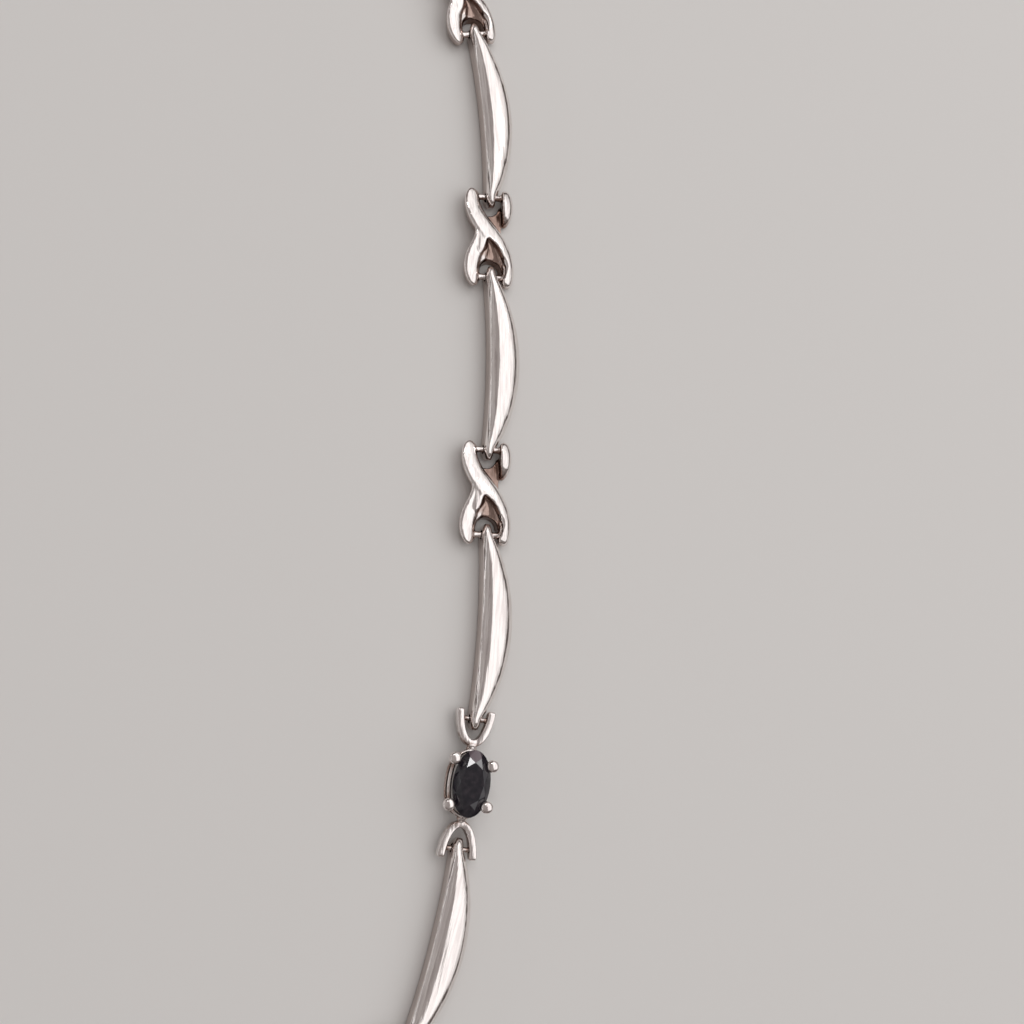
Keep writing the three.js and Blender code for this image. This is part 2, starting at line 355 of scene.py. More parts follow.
# Columns here and below: x, y, base, width and height in millimetres, along the strand.
UPPER_STRAND = [
    (1.24, -4.18, 0.50, 0.42, 0.60),
    (1.32, -3.98, 0.20, 0.90, 1.16),
    (1.38, -3.40, 0, 1.18, 1.54),
    (1.38, -2.60, 0, 1.30, 1.68),
    (1.14, -1.60, 0, 1.46, 1.80),
    (0.64, -0.78, 0, 1.66, 1.90),
    (0.00, 0.00, 0, 1.80, 1.96),
    (-0.66, 0.78, 0, 1.84, 1.94),
    (-1.22, 1.60, 0, 1.72, 1.84),
    (-1.57, 2.60, 0, 1.58, 1.68),
    (-1.52, 3.36, 0, 1.40, 1.52),
    (-1.40, 3.82, 0.20, 1.00, 1.16),
    (-1.30, 4.00, 0.50, 0.42, 0.60),
]


def strand(name, rows, outline=STRAND_OUTLINE):
    """Each end face is turned to stand square to the strand's course."""
    stations = []
    for i, row in enumerate(rows):
        before, after = rows[max(i - 1, 0)], rows[min(i + 1, len(rows) - 1)]
        stations.append((*row, -math.atan2(after[0] - before[0], after[1] - before[1])))
    return draw_bar(name, outline, stations, smooth=2)


cross = strand("cross", UPPER_STRAND)
print("upper strand:", len(cross.data.polygons), "faces")

# %% [markdown]
# The lower strand comes out as a leg on one side, almost as high as the upper strand, and on the
# other side as a short leaf that dives under it. So it is drawn as two bars.

# %% Leg and leaf of the lower strand
LEG = [
    (-1.18, -4.14, 0.50, 0.42, 0.60),
    (-1.34, -3.94, 0.20, 0.96, 1.16),
    (-1.58, -3.34, 0, 1.38, 1.54),
    (-1.63, -2.60, 0, 1.52, 1.70),
    (-1.48, -1.80, 0, 1.50, 1.82),
    (-1.12, -1.00, 0, 1.34, 1.90),
    (-0.88, -0.20, 0, 1.20, 1.94),
    (-0.84, 0.60, 0, 1.16, 1.86),
    (-1.00, 1.40, 0, 1.00, 1.50),
]
LEAF = [
    (1.22, 1.10, 0, 0.26, 0.60),
    (1.34, 1.45, 0, 0.62, 1.00),
    (1.42, 2.00, 0, 0.96, 1.40),
    (1.42, 2.70, 0, 1.10, 1.58),
    (1.38, 3.40, 0, 1.06, 1.50),
    (1.28, 3.90, 0.20, 0.80, 1.12),
    (1.20, 4.08, 0.50, 0.40, 0.60),
]
for name, rows in (("leg", LEG), ("leaf", LEAF)):
    combine(cross, strand(name, rows), "UNION")
print("with leg and leaf:", len(cross.data.polygons), "faces")

# %% [markdown]
# Where the leg meets the upper strand, the casting has flowed together, and no groove is left
# between them. A web with a flat top fills it. It lies just under the leg's crest, so that it
# shows no edge of its own, and sinks into the leg at its lower end.

# %% Web between the leg and the upper strand
WEB_OUTLINE = [(-0.5, 0), (-0.5, 0.8), (-0.46, 0.93), (-0.35, 0.985), (0, 1),
               (0.35, 0.985), (0.46, 0.93), (0.5, 0.8), (0.5, 0)]
WEB = [
    (-1.26, -1.95, 0, 0.48, 1.60),
    (-1.30, -1.40, 0, 1.00, 1.81),
    (-1.06, -0.95, 0, 1.24, 1.88),
    (-0.85, -0.50, 0, 1.30, 1.92),
    (-1.00, 0.05, 0, 0.80, 1.94),
    (-1.18, 0.35, 0, 0.36, 1.89),
]
combine(cross, strand("web", WEB, WEB_OUTLINE), "UNION")
print("with the web:", len(cross.data.polygons), "faces")

# %% [markdown]
# A floor lies between the strands on both sides. On the lower side a trough runs down from the
# crossing, deepest along the leg and rising towards the upper strand. It is drawn as one more
# bar and then cut out, since a valley is easier to shape as the lump that fills it.

# %% Floors and trough
LOWER_FLOOR = {"location": (0, -1.75, 0.65), "scale": (2.4, 2.5, 1.3)}
UPPER_FLOOR = {"location": (0.2, 1.5, 0.2), "scale": (1.7, 2.6, 0.4)}
TROUGH_OUTLINE = [(-0.5, 1), (-0.49, 0.4), (-0.43, 0.14), (-0.32, 0.03), (-0.14, 0),
                  (0.06, 0.08), (0.24, 0.26), (0.38, 0.48), (0.47, 0.72), (0.5, 1)]
TROUGH = [
    (-0.48, -0.38, 1.68, 0.16, 0.70),
    (-0.40, -0.66, 1.42, 0.60, 0.94),
    (-0.24, -1.00, 1.20, 1.20, 1.10),
    (-0.14, -1.60, 1.00, 1.90, 1.20),
    (-0.12, -2.30, 0.90, 2.50, 1.20),
    (-0.12, -3.10, 0.84, 2.60, 1.20),
]
for name, block in (("lower_floor", LOWER_FLOOR), ("upper_floor", UPPER_FLOOR)):
    combine(cross, add("cube", name, size=1, **block), "UNION")
combine(cross, strand("trough", TROUGH, TROUGH_OUTLINE), "DIFFERENCE")
print("with floors and trough:", len(cross.data.polygons), "faces")

# %% [markdown]
# Each end has a notch with a round arch, where the next link's eye sits on its pin. The arch is
# a cone, a little wider at the top. Round the lower one the trough ends in steps, like the seats
# of a small theatre: ever wider and shallower drill holes round one centre leave them.

# %% Steps, notches and pins of the cross link
CROSS_PIN = span["cross_link_01"] / 2
NOTCH_HALF_WIDTH = 0.92
ARCH = {"middle": 2.88, "radius": 0.82, "mouth": 0.98, "depth": 2.5, "below": 0.1}
DRILL_LENGTH = 2
# Columns: radius of the hole, height of its bottom.
DRILL_HOLES = [(1.02, 0.95), (1.2, 1.22), (1.38, 1.5)]
for radius, bottom in DRILL_HOLES:
    drill = add("cylinder", "funnel_step", vertices=48, radius=radius, depth=DRILL_LENGTH,
                location=(0, -ARCH["middle"], bottom + DRILL_LENGTH / 2))
    combine(cross, drill, "DIFFERENCE")
for end in (-1, 1):
    arch_place = (0, end * ARCH["middle"], ARCH["depth"] / 2 - ARCH["below"])
    arch = add("cone", "arch", vertices=48, radius1=ARCH["radius"], radius2=ARCH["mouth"],
               depth=ARCH["depth"], location=arch_place)
    combine(cross, arch, "DIFFERENCE")
    cut_slot(cross, end, ARCH["middle"], NOTCH_HALF_WIDTH)
    combine(cross, rod_across("pin", PIN_RADIUS, end * CROSS_PIN), "UNION")
print("cross link before its skin:", len(cross.data.polygons), "faces")

# %% [markdown]
# A voxel remesh samples the whole piece on a fine grid and lays one closed skin round it.
# Smoothing then moves each point halfway towards its neighbours, which blends all the joins.
# What would sink below the table is lifted back onto it.

# %% Grow the skin
def grow_skin(piece, voxel, smoothing):
    """One even skin over everything, softened by so many rounds of smoothing."""
    apply(piece, "REMESH", mode="VOXEL", voxel_size=voxel, use_smooth_shade=True)
    apply(piece, "SMOOTH", factor=0.5, iterations=smoothing)
    for vertex in piece.data.vertices:
        vertex.co.z = max(vertex.co.z, 0)
    return piece


grow_skin(cross, voxel=0.075, smoothing=8)
print("cross link:", len(cross.data.polygons), "faces, size", size_of(cross))

# %% [markdown]
# ## The claw setting
# It is made from wire, soldered: a small oval ring below, a wider one above, and four claws that
# lean outwards and end in beads. Round wire is easiest as a curve with a round bevel. Turned
# into meshes and grown into one skin, the joints get the small fillets that solder leaves.

# %% Round wire
def wire(name, points, radius):
    """A round wire through the points, with round ends."""
    bpy.ops.object.select_all(action="DESELECT")
    bpy.ops.curve.primitive_bezier_curve_add()
    curve = bpy.context.object
    curve.name = name
    line = curve.data.splines[0].bezier_points
    line.add(len(points) - len(line))
    for knot, point in zip(line, points):
        knot.co = point
        knot.handle_left_type = knot.handle_right_type = "AUTO"
    curve.data.bevel_depth = radius
    curve.data.bevel_resolution = 6
    curve.data.resolution_u = 16
    curve.data.use_fill_caps = True
    bpy.ops.object.convert(target="MESH")
    made = [bpy.context.object]
    for point in (points[0], points[-1]):
        made.append(add("uv_sphere", "end", segments=24, ring_count=12, radius=radius, location=point))
    return made


print("a wire is drawn from a row of points")

# %% [markdown]
# The rings are a little squarer than an ellipse, with straighter sides along the stone. On a
# curve that takes no more than longer handles.

# %% Rings of wire
LONGER_HANDLES = 1.16
RING_WIRE = 0.1
# Columns: name, half width, half length, height.
WIRE_RINGS = [
    ("lower_ring", 1.34, 2.28, 0.1),
    ("upper_ring", 1.4, 2.42, 1.5),
]


def oval_ring(name, half_width, half_length, height):
    """A closed ring of round wire, lying at this height."""
    bpy.ops.object.select_all(action="DESELECT")
    bpy.ops.curve.primitive_bezier_circle_add(location=(0, 0, height))
    ring = bpy.context.object
    ring.name = name
    ring.scale = (half_width, half_length, 1)
    for knot in ring.data.splines[0].bezier_points:
        knot.handle_left_type = knot.handle_right_type = "FREE"
        knot.handle_left = knot.co.lerp(knot.handle_left, LONGER_HANDLES)
        knot.handle_right = knot.co.lerp(knot.handle_right, LONGER_HANDLES)
    bpy.ops.object.transform_apply(location=True, rotation=True, scale=True)
    ring.data.bevel_depth = RING_WIRE
    ring.data.bevel_resolution = 6
    ring.data.resolution_u = 24
    bpy.ops.object.convert(target="MESH")
    return bpy.context.object


parts = [oval_ring(*row) for row in WIRE_RINGS]
print("rings:", [size_of(ring) for ring in parts])

# %% [markdown]
# A claw stands on the lower ring, leans against the outside of the upper one and ends above the
# edge of the stone, where its tip was melted into a bead and pressed flat. The claws were bent
# by hand, so no two stand quite alike.

# %% Claws and beads
BEAD_PLACES = [(-1.48, -1.70), (-1.48, 1.70), (1.46, 1.46), (1.42, -1.56)]
BEAD = {"radius": 0.48, "height": 2.61, "flatness": 0.6}
CLAW_WIRE = 0.2
# Columns: share of the way out to the bead, height.
CLAW = [(0.82, 0.25), (0.94, 1.4), (1, BEAD["height"] - 0.1)]
for x, y in BEAD_PLACES:
    parts += wire("claw", [(share * x, share * y, height) for share, height in CLAW], CLAW_WIRE)
    parts.append(add("uv_sphere", "bead", segments=32, ring_count=16, radius=BEAD["radius"],
                     location=(x, y, BEAD["height"]), scale=(1, 1, BEAD["flatness"])))
print("parts of the setting so far:", len(parts))

# %% [markdown]
# The forks are of flat wire that stands on edge, with its corners rubbed round, so they are drawn
# as bars like the strands above. Only the very tips are thinner and rounded.

# %% Draw a fork
FLAT_WIRE_OUTLINE = [(-0.34, 0), (-0.46, 0.05), (-0.5, 0.16), (-0.5, 0.84), (-0.46, 0.95), (-0.34, 1),
                     (0.34, 1), (0.46, 0.95), (0.5, 0.84), (0.5, 0.16), (0.46, 0.05), (0.34, 0)]
TIP_WIRE = (0.3, 0.56)
FLAT_WIRE = (0.58, 0.92)
# Columns: x, y, and the wire's width and height, along one half of a fork, from its tip.
FORK_HALF = [
    (1.24, 5.58, *TIP_WIRE),
    (1.24, 5.46, *FLAT_WIRE),
    (1.22, 5.2, *FLAT_WIRE),
    (1.13, 4.6, *FLAT_WIRE),
    (0.98, 4.0, *FLAT_WIRE),
    (0.72, 3.45, *FLAT_WIRE),
    (0.38, 3.08, *FLAT_WIRE),
]
FORK_FOOT = (0, 2.96, *FLAT_WIRE)


def fork(end):
    """A fork from tip to tip, centred on the height of the pins."""
    other_half = [(-x, *rest) for x, *rest in reversed(FORK_HALF)]
    rows = []
    for x, y, width, height in (*FORK_HALF, FORK_FOOT, *other_half):
        rows.append((x, end * y, PIN_HEIGHT - height / 2, width, height))
    return strand("fork", rows, FLAT_WIRE_OUTLINE)


print("a fork opens to", 2 * FORK_HALF[0][0], "mm")

# %% [markdown]
# The foot of each fork sinks into a soft knot of solder, and a thin pin closes its tips. With
# both forks in place, the setting gets one skin, finer than the cross link's, because wires and
# beads this thin would vanish in a coarser grid.

# %% Finish the setting
SETTING_PIN = span["claw_setting"] / 2
FORK_PIN = {"radius": 0.19, "length": 2.0}
SOLDER = {"y": 2.58, "height": 1.15, "scale": (0.42, 0.3, 0.4)}
for end in (-1, 1):
    parts.append(fork(end))
    parts.append(add("uv_sphere", "solder", segments=32, ring_count=16, radius=1,
                     location=(0, end * SOLDER["y"], SOLDER["height"]), scale=SOLDER["scale"]))
    parts.append(rod_across("fork_pin", FORK_PIN["radius"], end * SETTING_PIN, FORK_PIN["length"]))
setting = join(parts)
grow_skin(setting, voxel=0.042, smoothing=6)
print("setting:", len(setting.data.polygons), "faces, size", size_of(setting))

# %% [markdown]
# ## The stone
# An oval cut in the dark: a flat table, a crown with two rows of facets, a thin girdle and a
# pointed pavilion. Facets are flat, so the stone is the convex hull of rings of points: wherever
# the rings are turned against each other by half a step, the hull makes the kites and
# triangles of a real cut by itself. The points are laid on circles and then squeezed to an oval.

# %% Rings of points for the facets
# Columns: share of the half width, height above the girdle, number of points, turn in steps.
FACET_RINGS = [
    (0.62, 0.54, 8, 0),
    (0.83, 0.34, 8, 0.5),
    (1.00, 0.05, 32, 0),
    (1.00, -0.05, 32, 0),
    (0.62, -0.62, 8, 0),
    (0.10, -1.36, 8, 0.5),
]
rings = []
for share, height, count, turn in FACET_RINGS:
    rings.append(add("circle", "facets", vertices=count, radius=share,
                     location=(0, 0, height), rotation=(0, 0, 2 * math.pi / count * turn)))
stone = join(rings)
print("points of the stone:", len(stone.data.vertices))

# %% [markdown]
# A setter rarely gets a stone quite level. This one leans a few degrees and sits a hair towards
# the outer side, and the lean decides which facets flash. Its edges get the narrowest of bevels,
# so that they catch a line of light.

# %% Cut and set the stone
GIRDLE = {"x": 1.42, "y": 2.5, "z": 2.25}
LEAN = 4.5
SHIFT = 0.1
SAME_FACET_WITHIN = 0.5
EDGE_BEVEL = {"width": 0.012, "from_angle": 5}
edit(stone)
bpy.ops.mesh.convex_hull()
bpy.ops.transform.resize(value=(GIRDLE["x"], GIRDLE["y"], 1), center_override=(0, 0, 0))
bpy.ops.transform.rotate(value=math.radians(LEAN), orient_axis="Y", center_override=(0, 0, 0))
bpy.ops.transform.translate(value=(SHIFT, 0, GIRDLE["z"]))
bpy.ops.mesh.dissolve_limited(angle_limit=math.radians(SAME_FACET_WITHIN))
done()
apply(stone, "BEVEL", width=EDGE_BEVEL["width"], segments=1, limit_method="ANGLE",
      angle_limit=math.radians(EDGE_BEVEL["from_angle"]))
print("stone:", len(stone.data.polygons), "faces, size", size_of(stone))

# %% [markdown]
# ## The clasp
# It lies at the back of the neck and is one plain box with rounded edges. Each end has a notch
# and a pin, like a cross link's. A cube with a bevel is all it takes. The pins come after the
# bevel, which would otherwise round them too.

# %% Model the clasp
CLASP = {"width": 4.2, "length": 12.5, "height": 2.2, "rounding": 0.45}
CLASP_NOTCH = {"inside_pin": 1.3, "half_width": 0.97}
CLASP_PIN = span["box_clasp"] / 2
clasp = add("cube", "clasp", size=1, location=(0, 0, CLASP["height"] / 2),
            scale=(CLASP["width"], CLASP["length"], CLASP["height"]))
for end in (-1, 1):
    cut_slot(clasp, end, CLASP_PIN - CLASP_NOTCH["inside_pin"], CLASP_NOTCH["half_width"])
apply(clasp, "BEVEL", width=CLASP["rounding"], segments=6, limit_method="ANGLE", profile=0.6)
for end in (-1, 1):
    combine(clasp, rod_across("pin", PIN_RADIUS, end * CLASP_PIN), "UNION")
print("clasp:", len(clasp.data.polygons), "faces")

# %% [markdown]
# ## How open each spot is
# Polish reaches the tops and outer sides, while a warm brown tarnish stays in the valleys, the
# notches and the eyes. The same darkening is also painted shade and painted dark reflection,
# where little light reaches. To know open spots from hidden ones, short rays are sent out from
# each vertex of a master link. They are spread evenly over the half space above the surface, and
# the ones that leave it most squarely count most.

# %% Rays for the openness
RAYS = 32
GOLDEN_ANGLE = math.pi * (3 - math.sqrt(5))
climbs = [(i + 0.5) / RAYS for i in range(RAYS)]
rays = []
for i, climb in enumerate(climbs):
    flat = math.sqrt(1 - climb * climb)
    rays.append(Vector((math.cos(i * GOLDEN_ANGLE) * flat, math.sin(i * GOLDEN_ANGLE) * flat, climb)))
print("rays from each vertex:", len(rays))

# %% [markdown]
# Only the rays that point upwards are counted, because a link has its back to the table. The
# share of them that gets away is stored as an attribute, which the copies inherit and the
# material reads. Steep sides get a little painted shade besides, but thin wire, polished all
# round, hardly does.

# %% Store the openness
REACH_OF_RAY = 2.5
START_ABOVE_SURFACE = 0.01
SIDE_SHADE = 0.24
SIDE_SHADE_OF_WIRE = 0.1


def store_openness(piece, side_shade):
    """Stores how much of the space above each vertex is free, from 0 to 1."""
    tree = BVHTree.FromObject(piece, bpy.context.evaluated_depsgraph_get())
    values = []
    for vertex in piece.data.vertices:
        turn = Vector((0, 0, 1)).rotation_difference(vertex.normal)
        start = vertex.co + vertex.normal * START_ABOVE_SURFACE
        upward = free = 0
        for ray, climb in zip(rays, climbs):
            way = turn @ ray
            if way.z > 0:
                upward += climb
                free += climb * (tree.ray_cast(start, way, REACH_OF_RAY)[0] is None)
        # Painted shade: the fewer of its rays point upwards, the darker a steep side comes out.
        shade = 1 - side_shade * (1 - upward / sum(climbs))
        values.append(shade * free / upward if upward else 0)
    piece.data.attributes.new("openness", "FLOAT", "POINT").data.foreach_set("value", values)
    return values


masters = {"crescent": crescent, "cross": cross, "setting": setting, "clasp": clasp, "stone": stone}
for kind, master in masters.items():
    values = store_openness(master, SIDE_SHADE_OF_WIRE if kind == "setting" else SIDE_SHADE)
    print(kind, "openness from", round(min(values), 2), "to", round(max(values), 2))

# %% [markdown]
# ## Copies in their places
# Each copy has its own mesh, and its place goes into that mesh. Before it moves, it remembers
# where its points lay on the master. The fine lines of the polish follow that memory, so they
# run along every link, however the link lies in the loop. The memories of two links are kept
# far apart, so that no two links wear the same lines.

# %% Place every link
MEMORIES_APART = 40


def place_copy(master, node, number):
    """A copy of the master in the node's place, which it stands in for."""
    mesh = master.data.copy()
    piece = bpy.data.objects.new(f"{node}_finished", mesh)
    bpy.context.scene.collection.objects.link(piece)
    own = np.zeros(3 * len(mesh.vertices), np.float32)
    mesh.vertices.foreach_get("co", own)
    own = own.reshape(-1, 3) + np.array([0, MEMORIES_APART * number, 0], np.float32)
    memory = mesh.attributes.new("own_place", "FLOAT_VECTOR", "POINT")
    memory.data.foreach_set("vector", own.ravel())
    mesh.transform(placing(node))
    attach(piece, "root")
    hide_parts(node)
    return piece


kinds = {"crescent": CRESCENTS, "cross": CROSSES, "setting": ["claw_setting"],
         "clasp": ["box_clasp"], "stone": ["stone"]}
pieces = {}
for kind, nodes in kinds.items():
    for node in nodes:
        pieces[node] = place_copy(masters[kind], node, len(pieces))
for master in masters.values():
    only(master)
    bpy.ops.object.delete()
print(len(pieces), "pieces placed")

# %% [markdown]
# Smooth shading hides the small faces of a curved surface. The stone must keep its facets flat.
# The crescents and the clasp are smooth up to their sharp edges, and what a skin was grown over
# is smooth all round.

# %% Shade the pieces
SHARP_FROM = math.radians(40)
for kind, nodes in kinds.items():
    for node in nodes:
        only(pieces[node])
        if kind == "stone":
            bpy.ops.object.shade_flat()
        elif kind in ("crescent", "clasp"):
            bpy.ops.object.shade_smooth_by_angle(angle=SHARP_FROM)
        else:
            bpy.ops.object.shade_smooth()
print("faces of the finished pieces:", sum(len(piece.data.polygons) for piece in pieces.values()))

# %% [markdown]
# ## Materials as nets of nodes
# A material is a small net: attributes and noises on one side, the shader on the other. A few
# helpers keep it readable. They start a material, add a node with its inputs set, add a ramp of
# colours, read an attribute, and join an output to an input.

# %% Helpers for materials
# The Mix node has inputs and outputs of the same name for numbers and colours, so the ones for
# colours are told apart by their numbers.
FIRST_COLOUR, SECOND_COLOUR, MIXED_COLOUR = 6, 7, 2


def start_material(name):
    """A new material, its node tree and its shader."""
    material = bpy.data.materials.new(name)
    material.use_nodes = True
    return material, material.node_tree, material.node_tree.nodes["Principled BSDF"]


def add_node(tree, kind, **inputs):
    """A node of this kind with its inputs set: From_Min=1 sets the input From Min."""
    node = tree.nodes.new(f"ShaderNode{kind}")
    for name, value in inputs.items():
        node.inputs[name.replace("_", " ")].default_value = value
    return node


def add_ramp(tree, stops):
    """A ramp of colours, from rows of position and colour in rising order."""
    ramp = tree.nodes.new("ShaderNodeValToRGB")
    elements = ramp.color_ramp.elements
    for element, (position, colour) in zip(elements, (stops[0], stops[-1])):
        element.position, element.color = position, (*colour, 1)
    for position, colour in stops[1:-1]:
        elements.new(position).color = (*colour, 1)
    return ramp


def read_attribute(tree, name):
    """A node that reads what the pieces carry under this name."""
    node = tree.nodes.new("ShaderNodeAttribute")
    node.attribute_name = name
    return node


def join_nodes(tree, giver, output, taker, into):
    """Leads an output of one node into an input of another."""
    tree.links.new(giver.outputs[output], taker.inputs[into])


print("helpers for materials:", ", ".join(
    helper.__name__ for helper in (start_material, add_node, add_ramp, read_attribute, join_nodes)))

# %% [markdown]
# ## Polished silver
# A buffing wheel leaves fine lines along each link. They come from a noise that is stretched
# along the Y axis of the link's own place. A much broader noise on the same place stands for the
# shallow unevenness that polishing by hand leaves.

# %% Lines and waves of the polish
STRETCH = (5, 0.35, 5)


def polish_noises(tree):
    """The fine lines and the broad waves, as two noises."""
    stretched = add_node(tree, "Mapping", Scale=STRETCH)
    join_nodes(tree, read_attribute(tree, "own_place"), "Vector", stretched, "Vector")
    lines = add_node(tree, "TexNoise", Scale=1, Detail=5)
    waves = add_node(tree, "TexNoise", Scale=0.2, Detail=1)
    for noise in (lines, waves):
        join_nodes(tree, stretched, "Vector", noise, "Vector")
    return lines, waves


print("lines are", round(STRETCH[0] / STRETCH[1], 1), "times as long as wide")

# %% [markdown]
# The metal is bright and slightly rosy. A ramp turns openness into colour: it darkens and warms
# what the wheel does not reach, partly as tarnish and partly as painted shade and painted dark
# reflection in the hollows and on steep sides. The deepest lines of the polish take a little of
# the brightness away as well.

# %% Colour of the silver
# Columns: openness, colour.
# The low stops are tarnish and painted shade together: brown and dark where openness is low.
TARNISH_AND_PAINTED_SHADE = [(0.4, (0.17, 0.10, 0.075)), (0.82, (0.46, 0.345, 0.30)), (0.94, (0.91, 0.865, 0.845))]
# Columns: strength of the noise, colour.
DULL_LINES = [(0.36, (0.84, 0.82, 0.82)), (0.56, (1, 1, 1))]


def silver_colour(tree, lines):
    """The colour of the metal, as a Mix node."""
    tarnish_and_shade = add_ramp(tree, TARNISH_AND_PAINTED_SHADE)
    join_nodes(tree, read_attribute(tree, "openness"), "Fac", tarnish_and_shade, "Fac")
    dull = add_ramp(tree, DULL_LINES)
    join_nodes(tree, lines, "Fac", dull, "Fac")
    both = add_node(tree, "Mix", Factor=1)
    both.data_type = "RGBA"
    both.blend_type = "MULTIPLY"
    join_nodes(tree, tarnish_and_shade, "Color", both, FIRST_COLOUR)
    join_nodes(tree, dull, "Color", both, SECOND_COLOUR)
    return both


print("fully polished from an openness of", TARNISH_AND_PAINTED_SHADE[-1][0])

# %% [markdown]
# A mirror finish is hardly rough at all, and only a little more so along the lines. The lines
# and waves also go in as very shallow bumps, two hundredths and seven hundredths of a
# millimetre: fine enough to bend a reflection, far too fine to be worth modelling.

# %% Silver material
def silver():
    """The metal, from its noises, its colour, its roughness and its bumps."""
    material, tree, shader = start_material("polished_silver")
    shader.inputs["Metallic"].default_value = 1
    lines, waves = polish_noises(tree)
    join_nodes(tree, silver_colour(tree, lines), MIXED_COLOUR, shader, "Base Color")
    roughness = add_node(tree, "MapRange", From_Min=0.35, From_Max=0.75, To_Min=0.06, To_Max=0.2)
    join_nodes(tree, lines, "Fac", roughness, "Value")
    join_nodes(tree, roughness, "Result", shader, "Roughness")
    waviness = add_node(tree, "Bump", Distance=0.00007)
    join_nodes(tree, waves, "Fac", waviness, "Height")
    scratches = add_node(tree, "Bump", Strength=0.8, Distance=0.00002)
    join_nodes(tree, lines, "Fac", scratches, "Height")
    join_nodes(tree, waviness, "Normal", scratches, "Normal")
    join_nodes(tree, scratches, "Normal", shader, "Normal")
    return material


metal = silver()
print(metal.name, "has", len(metal.node_tree.nodes), "nodes")

# %% [markdown]
# ## The dark stone
# So dark a gem shows almost nothing but what its facets mirror. Its body colour is a blue that
# is nearly black, a faint cloudiness breaks it up, and the gloss is that of a sapphire which
# wear has dulled a little. One facet of the crown, near an end of the stone, gets a painted glow
# in its colour, for light from within. It is found by the way that it faces, and is painted a
# purple grey.

# %% Gem material
# Columns: strength of the noise, colour.
CLOUDS = [(0.4, (0.004, 0.004, 0.01)), (0.75, (0.03, 0.024, 0.032))]
# Painted glow: this purple grey is painted onto the one facet that faces the glow's way.
PAINTED_GLOW_COLOUR = (0.17, 0.13, 0.15, 1)
GLOW_WAY = placing("stone").to_3x3().normalized() @ Vector((-0.1, 0.55, 0.83))


def painted_facet_glow(tree):
    """How nearly a facet faces the way of the glow."""
    likeness = tree.nodes.new("ShaderNodeVectorMath")
    likeness.operation = "DOT_PRODUCT"
    likeness.inputs[1].default_value = GLOW_WAY
    join_nodes(tree, tree.nodes.new("ShaderNodeNewGeometry"), "True Normal", likeness, 0)
    glow = add_node(tree, "MapRange", From_Min=0.92, From_Max=0.98, To_Max=0.9)
    join_nodes(tree, likeness, "Value", glow, "Value")
    return glow


def dark_gem():
    """The stone: a clouded dark body, and the painted glow of one facet."""
    material, tree, shader = start_material("dark_sapphire")
    shader.inputs["IOR"].default_value = 1.65
    shader.inputs["Roughness"].default_value = 0.04
    cloudiness = add_node(tree, "TexNoise", Scale=2.2, Detail=6)
    join_nodes(tree, read_attribute(tree, "own_place"), "Vector", cloudiness, "Vector")
    body = add_ramp(tree, CLOUDS)
    join_nodes(tree, cloudiness, "Fac", body, "Fac")
    painted_glow_mix = tree.nodes.new("ShaderNodeMix")
    painted_glow_mix.data_type = "RGBA"
    painted_glow_mix.inputs[SECOND_COLOUR].default_value = PAINTED_GLOW_COLOUR
    join_nodes(tree, painted_facet_glow(tree), "Result", painted_glow_mix, "Factor")
    join_nodes(tree, body, "Color", painted_glow_mix, FIRST_COLOUR)
    join_nodes(tree, painted_glow_mix, MIXED_COLOUR, shader, "Base Color")
    return material


gem = dark_gem()
print(gem.name, "has", len(gem.node_tree.nodes), "nodes")

# %% [markdown]
# One silver serves all the metal, as one polishing does on the real choker. The memory of its
# own place is what makes each link differ.

# %% Give every piece its material
for node, piece in pieces.items():
    piece.data.materials.clear()
    piece.data.materials.append(gem if node == "stone" else metal)
print("materials in use:", sorted({piece.data.materials[0].name for piece in pieces.values()}))

# %% [markdown]
# ## Floor
# The choker lies on a plain pale floor, a hair below the links, so that their flat backs and the
# floor never fight over one plane.

# %% Floor
FLOOR = {"size": 3, "drop": 0.00003}
floor = add("plane", "floor", size=FLOOR["size"], location=(0, 0, -FLOOR["drop"]))
floor_material, _, floor_shader = start_material("pale_floor")
floor_shader.inputs["Base Color"].default_value = (0.78, 0.77, 0.755, 1)
floor_shader.inputs["Roughness"].default_value = 0.85
floor.data.materials.append(floor_material)
print("floor:", FLOOR["size"], "m wide")

# %% [markdown]
# ## Light
# Polished metal shows its surroundings more than itself, so the lights are chosen for their
# reflections. One large window leans over the outer side and has a brighter core: it draws the
# broad bright band along every dome. A panel and a narrow strip stand low on the inner side and
# draw the thin lines along the creases. Two tiny lamps stand just where two facets of the stone
# flash them back. The last light is for the floor, and neither metal nor stone mirrors it.

# %% Lights
AIM = Vector((43.707, -8.713, 0))
# Columns: name, lean and turn in degrees, distance, width and length in metres, power in watts.
LIGHTS = [
    ("window", 42, 20, 0.45, 0.54, 1.0, 1.0),
    ("window_core", 36, 16, 0.44, 0.36, 0.8, 0.27),
    ("inner_panel", -60, 0, 0.45, 0.26, 0.8, 0.11),
    ("inner_strip", -76, 0, 0.44, 0.05, 0.8, 0.11),
    ("spark", 38, 108, 0.5, 0.05, 0.05, 0.1),
    ("faint_spark", 44, 40, 0.5, 0.05, 0.05, 0.025),
    ("floor_fill", 0, 0, 0.6, 0.6, 0.6, 0.6),
]


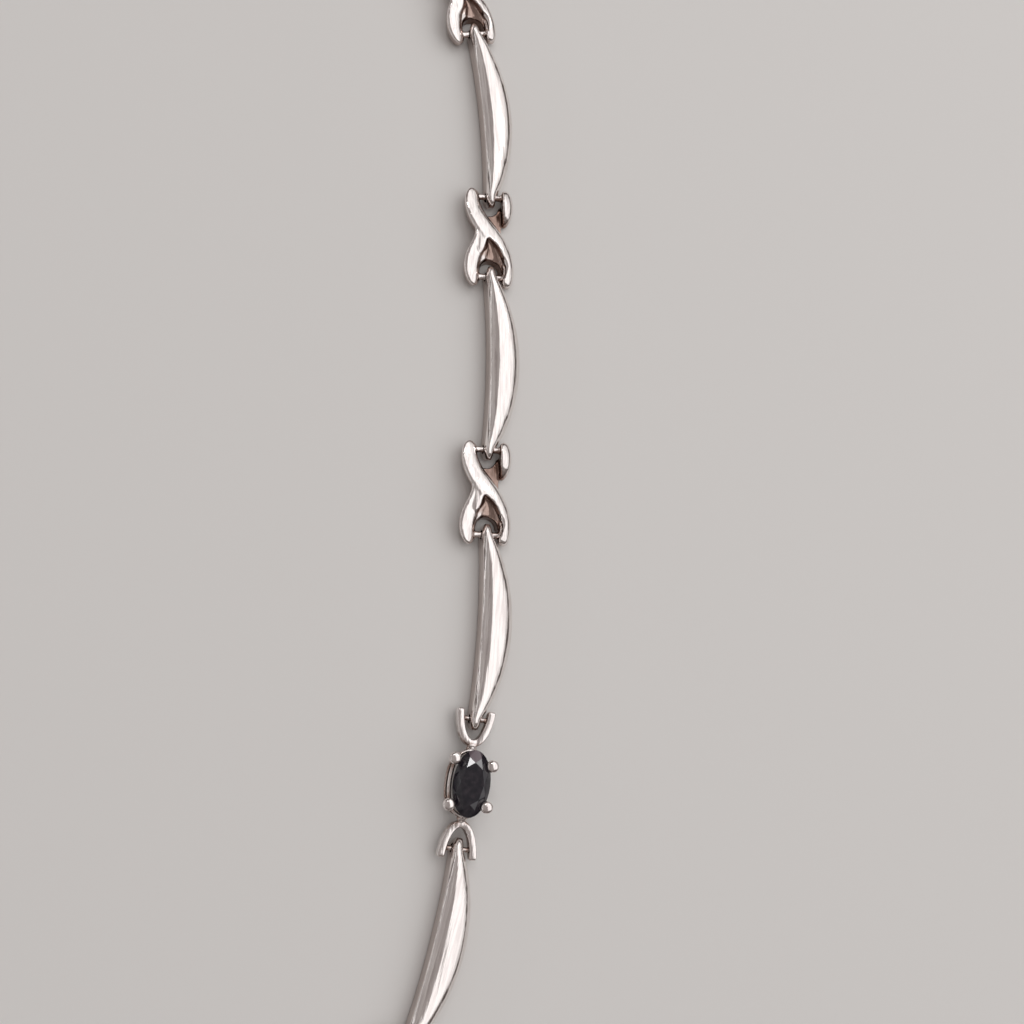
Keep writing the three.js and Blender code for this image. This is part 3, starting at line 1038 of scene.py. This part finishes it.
def soft_light(name, lean, turn, distance, width, length, power):
    """A light that leans from overhead to the outer side, +X; its width is across the chain."""
    light = bpy.data.lights.new(name, "AREA")
    light.shape = "RECTANGLE"
    light.size, light.size_y = length, width
    light.energy = power
    lamp = bpy.data.objects.new(name, light)
    bpy.context.scene.collection.objects.link(lamp)
    lean, turn = math.radians(lean), math.radians(turn)
    way = Vector((math.sin(lean) * math.cos(turn), math.sin(lean) * math.sin(turn), math.cos(lean)))
    lamp.location = AIM * MM + way * distance
    lamp.rotation_euler = way.to_track_quat("Z", "Y").to_euler()
    lamp.visible_camera = False
    return lamp


lamps = {row[0]: soft_light(*row) for row in LIGHTS}
lamps["floor_fill"].visible_glossy = False
print("lights:", ", ".join(lamps))

# %% [markdown]
# The room beyond the lights is dim, and a little lighter towards the ceiling. Its colour depends
# on how steeply one looks up. Standard colours keep the bright metal as bright as it was lit.

# %% Room
# Columns: height of the look, colour.
ROOM = [(0.0, (0.07, 0.055, 0.05)), (0.4, (0.20, 0.175, 0.165)), (0.9, (0.34, 0.31, 0.30))]
world = bpy.data.worlds.new("room")
world.use_nodes = True
tree = world.node_tree
look = tree.nodes.new("ShaderNodeSeparateXYZ")
join_nodes(tree, tree.nodes.new("ShaderNodeTexCoord"), "Generated", look, "Vector")
shades = add_ramp(tree, ROOM)
join_nodes(tree, look, "Z", shades, "Fac")
join_nodes(tree, shades, "Color", tree.nodes["Background"], "Color")
bpy.context.scene.world = world
bpy.context.scene.view_settings.view_transform = "Standard"
print("room:", len(tree.nodes), "nodes")

# %% [markdown]
# ## Camera
# It looks down on the front of the choker, from a little to the inner side and a little towards
# the lower end, -Y. Its own X axis is square to the chain's direction, so the chain runs upright
# through the view. The camera's three axes together make its turn.

# %% Camera
LEAN_INWARDS = 16
LEAN_TO_LOWER_END = 10.6
CAMERA_DISTANCE = 110.98
SENSOR = 36
LENS = 49.21875
back = Vector((-math.tan(math.radians(LEAN_INWARDS)), -math.tan(math.radians(LEAN_TO_LOWER_END)), 1))
back.normalize()
right = Vector((0, 1, 0)).cross(back).normalized()
up = back.cross(right)
camera = bpy.data.objects.new("camera", bpy.data.cameras.new("camera"))
bpy.context.scene.collection.objects.link(camera)
turn = Matrix((right, up, back)).transposed().to_4x4()
camera.matrix_world = Matrix.Translation((AIM + back * CAMERA_DISTANCE) * MM) @ turn
camera.data.sensor_width = SENSOR
camera.data.lens = LENS
camera.data.clip_start = 0.005
bpy.context.scene.camera = camera
print("camera:", CAMERA_DISTANCE, "mm from the front link, lens", round(LENS, 1), "mm")
